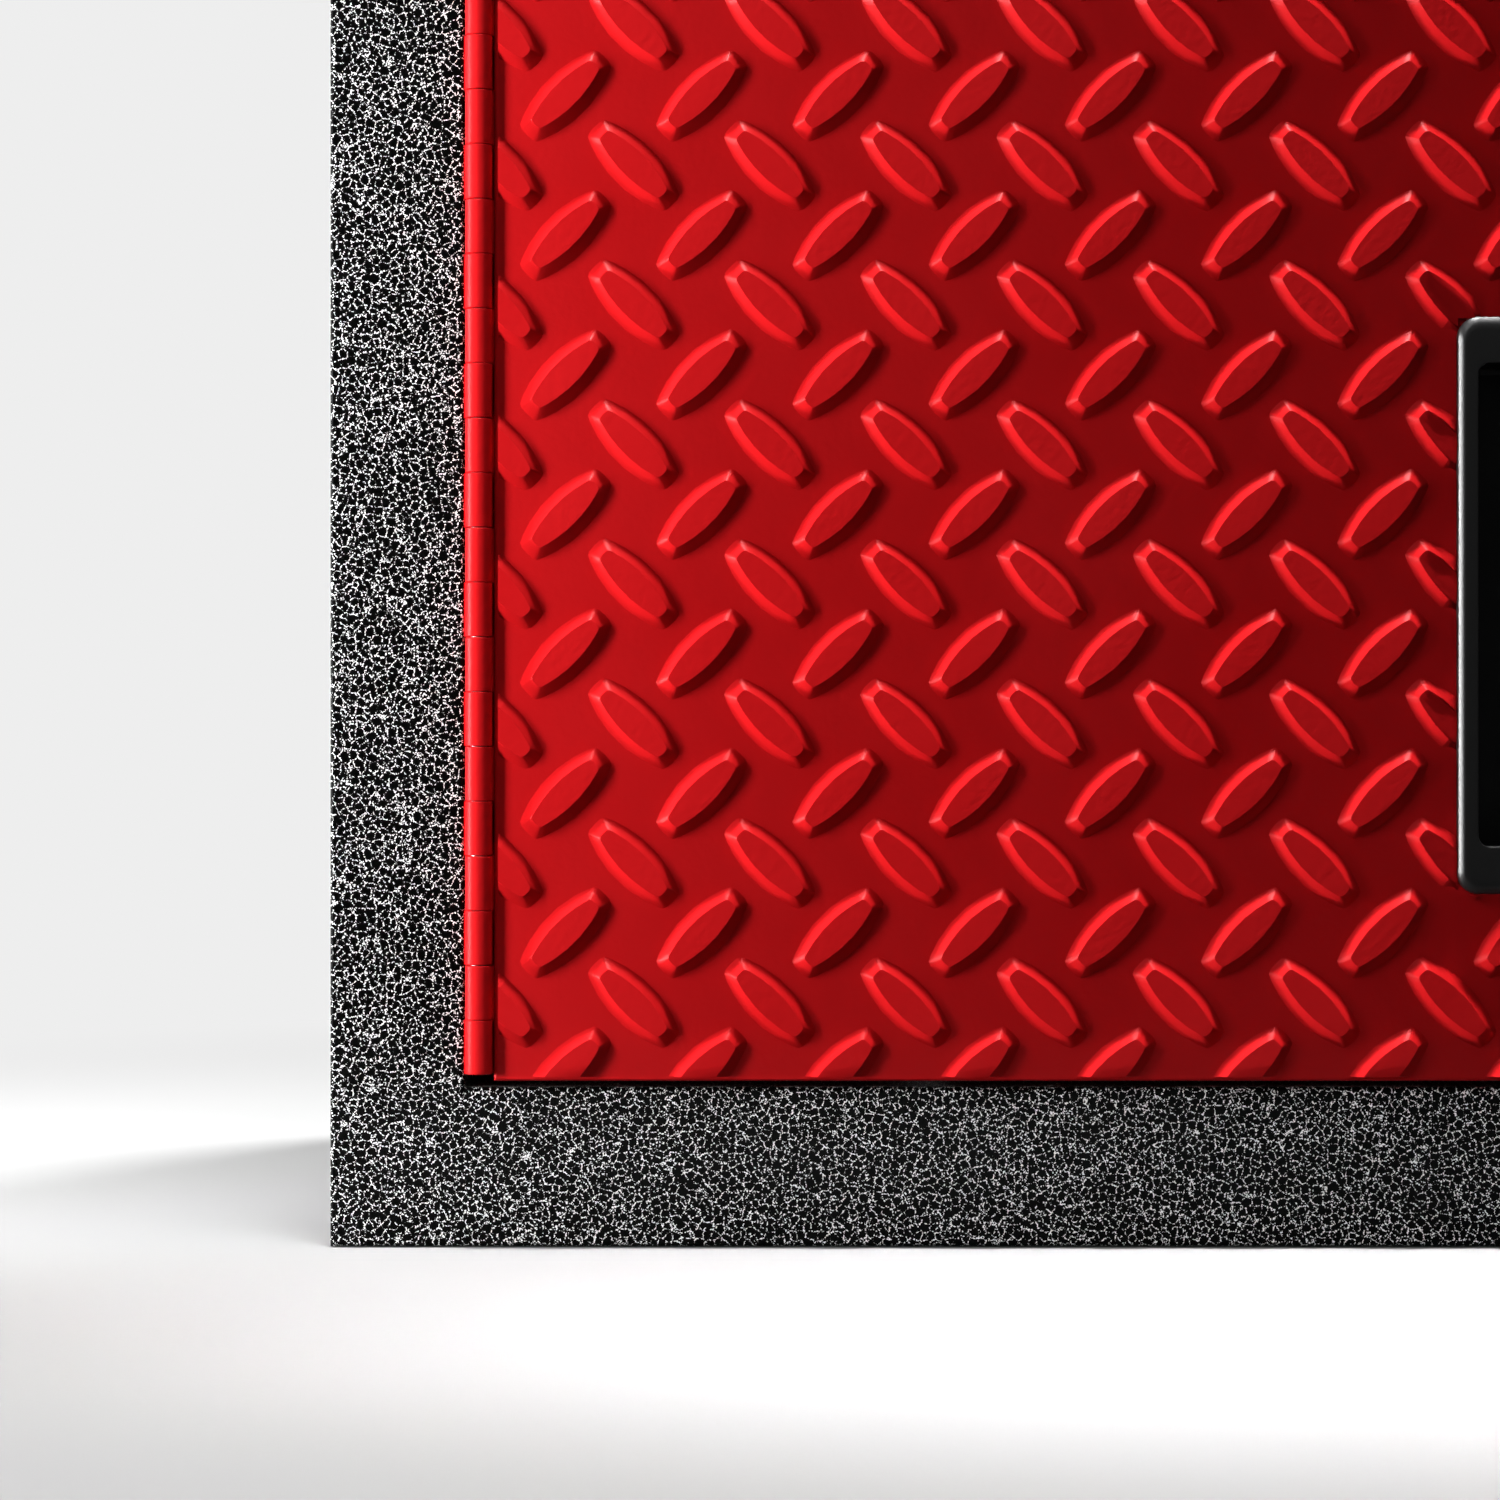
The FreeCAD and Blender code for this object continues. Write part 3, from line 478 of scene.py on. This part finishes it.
def tread_tree():
    """Lugs in crossed rows over a panel, pressed flat round a rim and cut to the panel's edges."""
    tree, given = geometry_tree(
        "tread_plate_lugs",
        {
            "Pitch across": "Float",
            "Pitch up": "Float",
            "Columns": "Int",
            "Rows": "Int",
            "First rising": "Vector",
            "First falling": "Vector",
            "Panel low": "Vector",
            "Panel high": "Vector",
            "Rim low": "Vector",
            "Rim high": "Vector",
            "Flattened margin": "Float",
            "Face": "Vector",
            "Material": "Material",
        },
    )
    # Two grids of lugs, one of them rising to the right and one falling
    joined = add(tree, "GeometryNodeJoinGeometry")
    for start, turn in (("First rising", 45), ("First falling", -45)):
        reach = []
        for count, pitch in (("Columns", "Pitch across"), ("Rows", "Pitch up")):
            gaps = add(tree, "ShaderNodeMath", {0: given[count], 1: 1.0}, operation="SUBTRACT").outputs[0]
            span = add(tree, "ShaderNodeMath", {0: gaps, 1: given[pitch]}, operation="MULTIPLY").outputs[0]
            reach.append(span)
        across, up = reach
        grid = add(
            tree,
            "GeometryNodeMeshGrid",
            {"Size X": across, "Size Y": up, "Vertices X": given["Columns"], "Vertices Y": given["Rows"]},
        ).outputs[0]
        size = add(tree, "ShaderNodeCombineXYZ", {0: across, 1: up}).outputs[0]
        half = add(tree, "ShaderNodeVectorMath", {0: size, "Scale": 0.5}, operation="SCALE").outputs[0]
        middle = add(tree, "ShaderNodeVectorMath", {0: half, 1: given[start]}, operation="ADD").outputs[0]
        placed = add(tree, "GeometryNodeTransform", {"Geometry": grid, "Translation": middle}).outputs[0]
        lugs = add(
            tree,
            "GeometryNodeInstanceOnPoints",
            {"Points": placed, "Instance": given["Geometry"], "Rotation": (0, 0, radians(turn))},
        ).outputs[0]
        tree.links.new(lugs, joined.inputs[0])
    whole = add(tree, "GeometryNodeRealizeInstances", {0: joined.outputs[0]}).outputs[0]
    # How far a point lies from the rim says how much of its height it keeps
    rim, rim_middle, rim_reach = box_between(tree, given["Rim low"], given["Rim high"])
    place = add(tree, "GeometryNodeInputPosition").outputs[0]
    away = add(tree, "ShaderNodeVectorMath", {0: place, 1: rim_middle}, operation="SUBTRACT").outputs[0]
    away = add(tree, "ShaderNodeVectorMath", {0: away}, operation="ABSOLUTE").outputs[0]
    half = add(tree, "ShaderNodeVectorMath", {0: rim_reach, "Scale": 0.5}, operation="SCALE").outputs[0]
    away = add(tree, "ShaderNodeVectorMath", {0: away, 1: half}, operation="SUBTRACT").outputs[0]
    away = add(tree, "ShaderNodeVectorMath", {0: away, 1: (0, 0, 0)}, operation="MAXIMUM").outputs[0]
    distance = add(tree, "ShaderNodeVectorMath", {0: away}, operation="LENGTH").outputs["Value"]
    kept = add(
        tree,
        "ShaderNodeMapRange",
        {0: distance, 1: 0.0, 2: given["Flattened margin"], 3: 0.0, 4: 1.0},
        interpolation_type="SMOOTHSTEP",
    ).outputs[0]
    parts = add(tree, "ShaderNodeSeparateXYZ", {0: place}).outputs
    above = add(tree, "ShaderNodeMath", {0: parts[2], 1: 0.0}, operation="MAXIMUM").outputs[0]
    lost = add(tree, "ShaderNodeMath", {0: 1.0, 1: kept}, operation="SUBTRACT").outputs[0]
    drop = add(tree, "ShaderNodeMath", {0: above, 1: lost}, operation="MULTIPLY").outputs[0]
    drop = add(tree, "ShaderNodeMath", {0: drop, 1: -1.0}, operation="MULTIPLY").outputs[0]
    offset = add(tree, "ShaderNodeCombineXYZ", {2: drop}).outputs[0]
    pressed = add(tree, "GeometryNodeSetPosition", {"Geometry": whole, "Offset": offset}).outputs[0]
    # Cut to the panel, cleared where the rim lies, and stood up on the door's face
    panel = box_between(tree, given["Panel low"], given["Panel high"])[0]
    trimmed = add(tree, "GeometryNodeMeshBoolean", operation="INTERSECT", solver="EXACT")
    tree.links.new(pressed, trimmed.inputs["Mesh 2"])
    tree.links.new(panel, trimmed.inputs["Mesh 2"])
    cleared = add(
        tree,
        "GeometryNodeMeshBoolean",
        {"Mesh 1": trimmed.outputs[0], "Mesh 2": rim},
        operation="DIFFERENCE",
        solver="EXACT",
    ).outputs[0]
    upright = add(
        tree,
        "GeometryNodeTransform",
        {"Geometry": cleared, "Rotation": (radians(90), 0, 0), "Translation": given["Face"]},
    ).outputs[0]
    return close_tree(tree, upright, given["Material"])


TREAD = tread_tree()
LUG = lug_mesh()
PAN_EASE = 0.2
EDGE_BEND = 1.1
PANEL_REACH = 5
RIM_OVERLAP = 0.3
FLATTENED_MARGIN = 5
# Middles of the first lugs at the lower left of each door as (x, z), read off the photograph
FIRST_LUGS = {
    "left": {"rising": (-332.2, 8.45), "falling": (-316.4, 24.65)},
    "right": {"rising": (-0.8, 34.8), "falling": (15.0, 18.6)},
}


def tread_door(name, side):
    """A door's pan with its lugs, as one piece."""
    x_low, x_high = sorted((side * door_low.x, side * door_high.x))
    rim_x = sorted((side * handle_low.x, side * handle_high.x))
    pan = from_bmesh(f"{name}_pan", copied_shape(f"{name}_door_skin"))
    pan = ease(pan, PAN_EASE)
    starts = FIRST_LUGS[name]
    bend = EDGE_BEND * MM
    overlap = RIM_OVERLAP * MM
    reach = PANEL_REACH * MM
    lugs = grow(
        f"{name}_lugs",
        LUG.copy(),
        TREAD,
        {
            "Pitch across": LUG_PITCH_ACROSS * MM,
            "Pitch up": LUG_PITCH_UP * MM,
            "Columns": LUG_COLUMNS,
            "Rows": LUG_ROWS,
            "First rising": (*mm(*starts["rising"]), 0),
            "First falling": (*mm(*starts["falling"]), 0),
            "Panel low": (x_low + bend, door_low.z + bend, -reach),
            "Panel high": (x_high - bend, door_high.z - bend, reach),
            "Rim low": (rim_x[0] + overlap, handle_low.z + overlap, -reach),
            "Rim high": (rim_x[1] - overlap, handle_high.z - overlap, reach),
            "Flattened margin": FLATTENED_MARGIN * MM,
            "Face": (0, door_face, 0),
            "Material": FINISH["door_coat"],
        },
    )
    door = shade(join_shapes(f"{name}_tread_plate_door", pan, lugs))
    finish_piece(door, f"{name}_door_skin")


# Hinges: each leaf is a sheet whose alternate knuckles are rolled round the pin

KNUCKLE = 12.7
KNUCKLE_GAP = 0.12
KNUCKLE_CHAMFER = 0.2
# How far the door's knuckles sink towards the frame's that carry them
DOOR_SAG = 0.04
BARREL = 6.3
BARREL_STEPS = 28
BORE = 3.9
# A leaf's sheet, how far beside the pin its outer face lies, how far behind the pin its plate starts, how far
# its teeth reach into the plate, and how wide the plate's edges are eased
LEAF_SHEET = 1.2
LEAF_FACE = 3.45
LEAF_NOTCH = 3.95
LEAF_LAP = 0.2
LEAF_EASE = 0.15


def knuckle_tree():
    """Rolled knuckles up a pin, each with the tooth of sheet that it is rolled from."""
    tree, given = geometry_tree(
        "hinge_knuckles",
        {
            "Count": "Int",
            "Spacing": "Float",
            "Knuckle length": "Float",
            "Chamfer": "Float",
            "Wall": "Float",
            "Middle radius": "Float",
            "Tooth low": "Vector",
            "Tooth high": "Vector",
            "First middle": "Vector",
            "Material": "Material",
        },
    )
    section = add(
        tree,
        "GeometryNodeCurvePrimitiveQuadrilateral",
        {0: given["Wall"], 1: given["Knuckle length"]},
        mode="RECTANGLE",
    ).outputs[0]
    section = add(
        tree,
        "GeometryNodeFilletCurve",
        {"Curve": section, "Radius": given["Chamfer"], "Count": 1},
        mode="POLY",
    ).outputs[0]
    round_pin = add(
        tree,
        "GeometryNodeCurvePrimitiveCircle",
        {"Resolution": BARREL_STEPS, "Radius": given["Middle radius"]},
        mode="RADIUS",
    ).outputs[0]
    rolled = add(tree, "GeometryNodeCurveToMesh", {"Curve": round_pin, "Profile Curve": section}).outputs[0]
    tooth = box_between(tree, given["Tooth low"], given["Tooth high"])[0]
    joined = add(tree, "GeometryNodeJoinGeometry")
    for part in (rolled, tooth):
        tree.links.new(part, joined.inputs[0])
    step = add(tree, "ShaderNodeCombineXYZ", {2: given["Spacing"]}).outputs[0]
    line = add(
        tree,
        "GeometryNodeMeshLine",
        {"Count": given["Count"], "Start Location": given["First middle"], "Offset": step},
        mode="OFFSET",
    ).outputs[0]
    knuckle = joined.outputs[0]
    row = add(tree, "GeometryNodeInstanceOnPoints", {"Points": line, "Instance": knuckle}).outputs[0]
    return close_tree(tree, row, given["Material"])


KNUCKLES = knuckle_tree()


def box_piece(name, low, high):
    shape = bmesh.new()
    middle = (low + high) / 2
    reach = high - low
    bmesh.ops.create_cube(shape, size=1.0, matrix=Matrix.Translation(middle) @ Matrix.Diagonal((*reach, 1)))
    return from_bmesh(name, shape)


def hinge_leaf(name, side, on_frame):
    """A leaf with its knuckles. The door's rest on the frame's, so every second gap is narrow."""
    node = f"{name}_hinge_{'frame' if on_frame else 'door'}_leaf"
    low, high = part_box(node)
    pin = Vector((side * (leaf_low.x + frame_leaf_high.x) / 2, leaf_low.y + BARREL / 2 * MM, 0))
    outward = side if on_frame else -side
    sheet = sorted((outward * (LEAF_FACE - LEAF_SHEET), outward * LEAF_FACE))
    # The frame's leaf has the first whole knuckle and every second one, the door's leaf has the others, and
    # the one whose turn comes after the last of them has the short knuckle that is left
    pitch = KNUCKLE * MM
    whole = int((high.z - low.z) / pitch)
    count = (whole + 1) // 2 if on_frame else whole // 2
    first = 0 if on_frame else 1
    sag = 0 if on_frame else DOOR_SAG
    rows = [(count, KNUCKLE - KNUCKLE_GAP, low.z + (first + 0.5) * pitch - sag * MM)]
    rest = (high.z - low.z) / MM - whole * KNUCKLE
    if whole % 2 == first:
        rows.append((1, rest - KNUCKLE_GAP, low.z + (whole * KNUCKLE + rest / 2) * MM - sag * MM))
    parts = []
    for number, (many, length, middle) in enumerate(rows):
        values = {
            "Count": many,
            "Spacing": 2 * pitch,
            "Knuckle length": length * MM,
            "Chamfer": KNUCKLE_CHAMFER * MM,
            "Wall": (BARREL - BORE) / 2 * MM,
            "Middle radius": (BARREL + BORE) / 4 * MM,
            "Tooth low": mm(sheet[0], 0, -length / 2),
            "Tooth high": mm(sheet[1], LEAF_NOTCH + LEAF_LAP, length / 2),
            "First middle": (pin.x, pin.y, middle),
            "Material": FINISH["door_coat"],
        }
        parts.append(grow(f"{node}_row_{number}", bpy.data.meshes.new("none"), KNUCKLES, values))
    plate_low = Vector((pin.x + sheet[0] * MM, pin.y + LEAF_NOTCH * MM, low.z))
    plate_high = Vector((pin.x + sheet[1] * MM, high.y, high.z))
    parts.append(ease(box_piece(f"{node}_plate", plate_low, plate_high), LEAF_EASE))
    leaf = shade(join_shapes(f"{node}_rolled", *parts))
    finish_piece(leaf, node)


# Handles: a black moulding whose bevelled rim lies on the door round the finger recess

RIM_BESIDE_MOUTH = 4.7
RIM_BEYOND_MOUTH = 11.0
RIM_CORNER = 5.0
RIM_LEAST_CORNER = 2.5
MOUTH_WIDTH = 36.0
MOUTH_CORNER = 2.6
CUP_WALL = 1.8
CUP_CORNER = 1.5
# Behind the mouth the recess widens by the lip, and on the hinge side by the finger room
LIP = 0.3
LIP_BACK = 6.2
FINGER_ROOM = 12.0
FLOOR_BEND = 1.2
FLOOR_CORNER = 2.0
# The rim's foot on the door: how far in, and how far ahead of the skin
RIM_FOOT = ((0.5, 0.0), (0.0, 0.3))
# The rim's bevel: how far in, how far behind the face, and how many times further in at its ends
RIM_BEVEL = (
    (0.0, 1.7, 1.0), (0.1, 1.3, 1.0), (0.3, 0.95, 1.1), (1.05, 0.25, 1.3), (1.45, 0.06, 1.5), (1.8, 0.0, 1.8),
)
# The mouth's edge: how far out, and how far behind the face
MOUTH_EDGE = ((0.4, 0.0), (0.16, 0.06), (0.03, 0.24), (0.0, 0.5), (0.0, 5.6), (-0.1, 6.0))


def grown(outline, outset):
    """A rectangle as (x_low, x_high, z_low, z_high), moved out on all four sides."""
    x_low, x_high, z_low, z_high = outline
    return (x_low - outset, x_high + outset, z_low - outset, z_high + outset)


def moulded_handle(name, side):
    """A handle as rings from the back of its cup round the rim and down to the recess's floor."""
    low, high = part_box(f"{name}_handle")
    face = low.y / MM
    back = high.y / MM
    skin = door_face / MM
    x_low, x_high, z_low, z_high = handle_low.x / MM, handle_high.x / MM, low.z / MM, high.z / MM
    mouth_high = x_high - RIM_BESIDE_MOUTH
    mouth = (mouth_high - MOUTH_WIDTH, mouth_high, z_low + RIM_BEYOND_MOUTH, z_high - RIM_BEYOND_MOUTH)
    cup = (mouth[0] - FINGER_ROOM - CUP_WALL, *grown(mouth, CUP_WALL)[1:])
    recess = (mouth[0] - FINGER_ROOM, *grown(mouth, LIP)[1:])
    levels = [(cup, CUP_CORNER, back), (cup, CUP_CORNER, skin)]
    rim = [(inset, skin - ahead, 1.0) for inset, ahead in RIM_FOOT]
    rim += [(inset, face + behind, steeper) for inset, behind, steeper in RIM_BEVEL]
    for inset, y, steeper in rim:
        up = inset * steeper
        outline = (x_low + inset, x_high - inset, z_low + up, z_high - up)
        levels.append((outline, max(RIM_CORNER - inset, RIM_LEAST_CORNER), y))
    for outset, behind in MOUTH_EDGE:
        levels.append((grown(mouth, outset), MOUTH_CORNER + outset, face + behind))
    for y in (face + LIP_BACK, back - CUP_WALL - FLOOR_BEND):
        levels.append((recess, MOUTH_CORNER + LIP, y))
    levels.append((grown(recess, -FLOOR_BEND), FLOOR_CORNER, back - CUP_WALL))
    rings = []
    for outline, radius, y in levels:
        rings.append([mm(side * x, y, z) for x, z in rounded_outline(*outline, radius)])
    handle = shade(ring_body(f"{name}_moulded_handle", rings), sharp_angle=40)
    finish_piece(handle, f"{name}_handle")


# Badge frame: four mitred bars with a lip outside and inside and a flat crest

# A bar's section from its outer to its inner side: how far in, and how far behind the crest
BAR_OUTER = ((0.0, 1.45), (0.12, 1.3), (0.42, 1.3), (0.5, 1.15), (1.15, 0.08), (1.3, 0.0))
BAR_INNER = ((2.1, 0.0), (2.25, 0.08), (2.8, 0.95), (2.9, 1.05), (3.28, 1.05), (3.4, 1.2))


def badge():
    """The bars as rings from the outer foot over the crest to the inner foot, closed behind."""
    low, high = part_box("badge_frame")
    outside = (low.x / MM, high.x / MM, low.z / MM, high.z / MM)
    crest, rear = low.y / MM, high.y / MM
    section = [(inset, crest + behind) for inset, behind in BAR_OUTER + BAR_INNER]
    section = [(BAR_OUTER[0][0], rear), *section, (BAR_INNER[-1][0], rear)]
    rings = []
    for inset, y in section:
        x_low, x_high, z_low, z_high = grown(outside, -inset)
        corners = ((x_low, z_low), (x_high, z_low), (x_high, z_high), (x_low, z_high))
        rings.append([mm(x, y, z) for x, z in corners])
    bars = ring_body("badge_mitred_frame", rings, closed=True)
    finish_piece(shade(bars, sharp_angle=28), "badge_frame")


# Folded sheet and other plain pieces: the CAD shape with its raw edges eased

# How wide each piece's edges are eased
EASED = {
    "left_side_panel": 0.22, "right_side_panel": 0.22, "bottom_rail": 0.22, "top_rail": 0.22,
    "bottom_panel": 0.2, "top_panel": 0.2, "back_panel": 0.2, "lower_wall_rail": 0.3, "upper_wall_rail": 0.3,
    "left_front_standard": 0.15, "left_rear_standard": 0.15, "right_front_standard": 0.15,
    "right_rear_standard": 0.15, "shelf": 0.3, "left_door_liner": 0.15, "right_door_liner": 0.15,
    "lower_catch_housing": 0.6, "upper_catch_housing": 0.6, "left_bumpers": 0.8, "right_bumpers": 0.8,
    "left_lower_strike": 0.25, "left_upper_strike": 0.25, "right_lower_strike": 0.25,
    "right_upper_strike": 0.25, "badge_insert": 0.2, "catch_screws": 0.5,
}

for node, width in EASED.items():
    piece = ease(from_bmesh(f"{node}_eased", copied_shape(node)), width)
    finish_piece(shade(piece), node)

for name, side in SIDES:
    tread_door(name, side)
    hinge_leaf(name, side, on_frame=True)
    hinge_leaf(name, side, on_frame=False)
    moulded_handle(name, side)
badge()

for node, piece in frame["nodes"].items():
    for slot in piece.material_slots:
        slot.material = FINISH[SLOT_OF[node]]


# Camera: in front of the lower left part, as in the photograph

# The photograph's side and the cabinet's edges in it, in pixels, and pixels per millimetre of its front
PHOTO_SIDE = 1500
LEFT_EDGE_PX = 330
UNDERSIDE_PX = 1246.5
PHOTO_SCALE = 4.29
# How far the camera stands from the front, in metres
CAMERA_AWAY = 0.97
SENSOR = 36.0

camera_data = bpy.data.cameras.new("camera")
camera_data.sensor_width = SENSOR
camera_data.lens = SENSOR * CAMERA_AWAY / (PHOTO_SIDE / PHOTO_SCALE * MM)
camera = bpy.data.objects.new("camera", camera_data)
camera.location = (
    body_low[0] + (PHOTO_SIDE / 2 - LEFT_EDGE_PX) / PHOTO_SCALE * MM,
    front - CAMERA_AWAY,
    body_low[2] + (UNDERSIDE_PX - PHOTO_SIDE / 2) / PHOTO_SCALE * MM,
)
camera.rotation_euler = (radians(90), 0, 0)
bpy.context.scene.collection.objects.link(camera)
bpy.context.scene.camera = camera


# Lamps, world, floor and backdrop


def softbox(name, place, aim, width, height, power, spread=180, gloss=True):
    """A lamp, in metres and watts, turned to what it aims at, with its spread in degrees."""
    data = bpy.data.lights.new(name, "AREA")
    data.shape = "RECTANGLE"
    data.size = width
    data.size_y = height
    data.energy = power
    data.spread = radians(spread)
    lamp = bpy.data.objects.new(name, data)
    lamp.visible_camera = False
    lamp.visible_glossy = gloss
    lamp.location = place
    lamp.rotation_euler = (Vector(aim) - Vector(place)).to_track_quat("-Z", "Y").to_euler()
    bpy.context.scene.collection.objects.link(lamp)


# A gridded strip near the left edge fades over the doors. Two long gridded panels, one far to the left
# and one high above, graze the front, so that the slopes which face them stand out from the flat sheet.
# A low strip lifts the bottom rail. One soft fill high in front on the left reaches the inside, and another
# high behind reaches the back, the right side and the floor.
softbox(
    "strip_left", (-0.80, -0.42, 0.25), (-0.80, 0.0, 0.25),
    width=0.2, height=0.5, power=22, spread=141.2, gloss=False,
)
softbox(
    "grazing_left", (-2.60, -0.38, 0.36), (0.0, -0.26, 0.30),
    width=0.2, height=1.4, power=3.5, spread=11,
)
softbox(
    "grazing_top", (0.3, -0.36, 3.2), (0.3, -0.30, 0.3),
    width=1.4, height=0.16, power=5.5, spread=12,
)
softbox(
    "rail_strip", (-0.05, -0.60, 0.018), (-0.05, 0.0, 0.018),
    width=0.7, height=0.03, power=0.007, spread=8,
)
softbox(
    "fill_front", (-1.7, -2.2, 2.5), (0.0, -0.1, 0.35),
    width=1.2, height=1.2, power=24,
)
softbox(
    "fill_behind", (1.1, 1.7, 2.4), (0.0, 0.1, 0.40),
    width=1.2, height=1.2, power=26, spread=60, gloss=False,
)

# The world lights the object dimly and evenly, and is pale to the camera.
BACKDROP = "#EEEEEE"
SKY_LEVEL = 0.045
world = bpy.data.worlds.new("studio")
bpy.context.scene.world = world
world.use_nodes = True
sky = world.node_tree.nodes["Background"]
seen = add(world.node_tree, "ShaderNodeLightPath").outputs["Is Camera Ray"]
shade_of_sky = add(
    world.node_tree,
    "ShaderNodeMix",
    {0: seen, 6: (SKY_LEVEL, SKY_LEVEL, SKY_LEVEL, 1), 7: linear(BACKDROP)},
    data_type="RGBA",
).outputs[2]
world.node_tree.links.new(shade_of_sky, sky.inputs[0])

# How far from the object's middle the paper turns pale, and how far behind it to reflections, in metres
PALE_FROM = 0.40
PALE_TO = 0.80
BEHIND_FROM = 0.2
BEHIND_TO = 0.8


def pale_paper(near, far, dim):
    """Paper that takes the object's shadow near it and is evenly pale further off, to the camera.

    To reflections it is so only behind the object. Elsewhere, and to light that bounces, it is dim.
    """
    material, tree, shader, place = new_material("pale_paper", Roughness=1.0)
    shader.inputs["Specular IOR Level"].default_value = 0.0
    ray = add(tree, "ShaderNodeLightPath").outputs
    mirrored = add(
        tree, "ShaderNodeMath", {0: ray["Is Glossy Ray"], 1: ray["Is Transmission Ray"]}, operation="MAXIMUM"
    ).outputs[0]
    depth = add(tree, "ShaderNodeSeparateXYZ", {0: place}).outputs[1]
    behind = add(
        tree, "ShaderNodeMapRange", {0: depth, 1: BEHIND_FROM, 2: BEHIND_TO, 3: 0.0, 4: 1.0}
    ).outputs[0]
    mirrored = add(tree, "ShaderNodeMath", {0: mirrored, 1: behind}, operation="MULTIPLY").outputs[0]
    seen = add(tree, "ShaderNodeMath", {0: ray["Is Camera Ray"], 1: mirrored}, operation="MAXIMUM").outputs[0]
    away = add(tree, "ShaderNodeVectorMath", {0: place}, operation="LENGTH").outputs["Value"]
    off = add(
        tree,
        "ShaderNodeMapRange",
        {0: away, 1: PALE_FROM, 2: PALE_TO, 3: 0.0, 4: 1.0},
        interpolation_type="SMOOTHSTEP",
    ).outputs[0]
    lit = add(
        tree, "ShaderNodeMix", {0: off, 6: linear(near), 7: linear("#000000")}, data_type="RGBA"
    ).outputs[2]
    paint = add(tree, "ShaderNodeMix", {0: seen, 6: linear(dim), 7: lit}, data_type="RGBA").outputs[2]
    tree.links.new(paint, shader.inputs["Base Color"])
    glow = add(tree, "ShaderNodeMath", {0: seen, 1: off}, operation="MULTIPLY").outputs[0]
    tree.links.new(glow, shader.inputs["Emission Strength"])
    shader.inputs["Emission Color"].default_value = linear(far)
    return material


# The floor and its bend, in metres
FLOOR_FRONT = -7.0
FLOOR_HALF_WIDTH = 9.0
FLOOR_DROP = 0.0003
BEND_START = 3.2
BEND_RADIUS = 1.2
BEND_STEPS = 10
WALL_TOP = 6.0


def sweep():
    """A pale floor that curves up into a wall far behind."""
    profile = [(FLOOR_FRONT, 0.0), (BEND_START, 0.0)]
    for step in range(1, BEND_STEPS + 1):
        turn = pi / 2 * step / BEND_STEPS
        profile.append((BEND_START + BEND_RADIUS * sin(turn), BEND_RADIUS - BEND_RADIUS * cos(turn)))
    profile.append((BEND_START + BEND_RADIUS, WALL_TOP))
    shape = bmesh.new()
    columns = [
        [shape.verts.new((x, y, z - FLOOR_DROP)) for y, z in profile]
        for x in (-FLOOR_HALF_WIDTH, FLOOR_HALF_WIDTH)
    ]
    left, right = columns
    for number in range(len(profile) - 1):
        shape.faces.new((left[number], right[number], right[number + 1], left[number + 1]))
    for face in shape.faces:
        face.smooth = True
    stage = from_bmesh("floor_and_backdrop", shape)
    stage.data.materials.append(pale_paper(near="#A6A6A6", far=BACKDROP, dim="#383838"))


sweep()
bpy.context.scene.view_settings.view_transform = "Standard"
